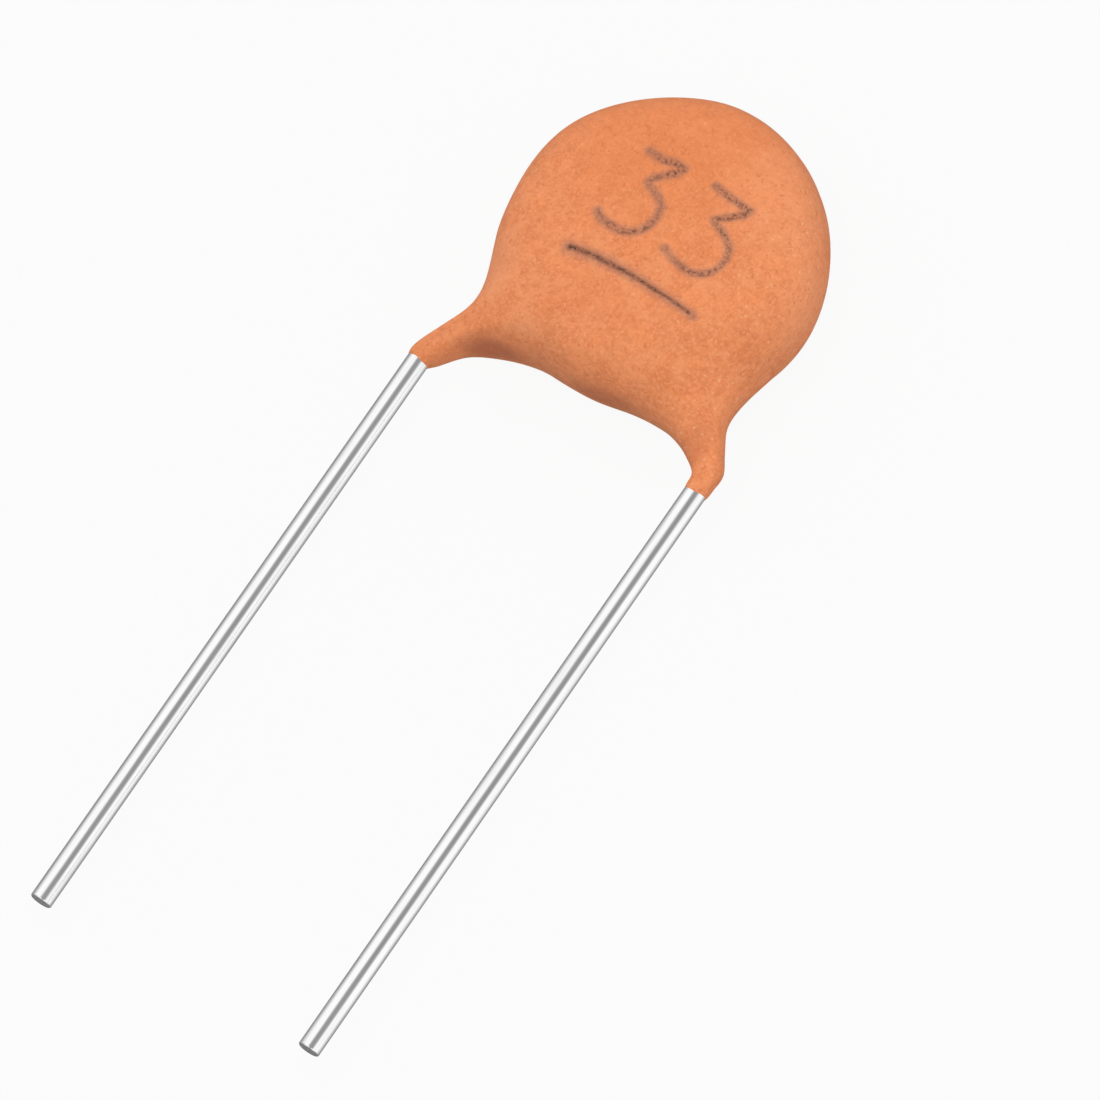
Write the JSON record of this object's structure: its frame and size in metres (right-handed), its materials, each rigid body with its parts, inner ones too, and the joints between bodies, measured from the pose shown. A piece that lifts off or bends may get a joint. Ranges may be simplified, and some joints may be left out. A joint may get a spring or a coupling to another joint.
{
  "type": "ceramic disc capacitor",
  "caption": "Ceramic disc capacitor with a dipped orange coating and two straight radial wire leads, lying on its rear face.",
  "frame": {"origin": "under the middle of the part's box, on the surface that the rear face rests on", "axes": "+Z out of the marked front face, -Y along the leads toward their tips, +X to the right as the front face is read"},
  "size_m": [0.0054, 0.016, 0.002],
  "materials": {
    "coating": "matte dipped resin with a fine grain, orange",
    "ceramic": "fired, unglazed, cream",
    "silver": "dull fired silver",
    "solder": "satin solder",
    "tinned_wire": "bright tinned wire"
  },
  "bodies": {
    "root": {"coating": "coating", "ceramic_disc": "ceramic", "front_electrode": "silver", "rear_electrode": "silver", "front_solder_joint": "solder", "rear_solder_joint": "solder", "left_lead": "tinned_wire", "right_lead": "tinned_wire"}
  },
  "joints": []
}
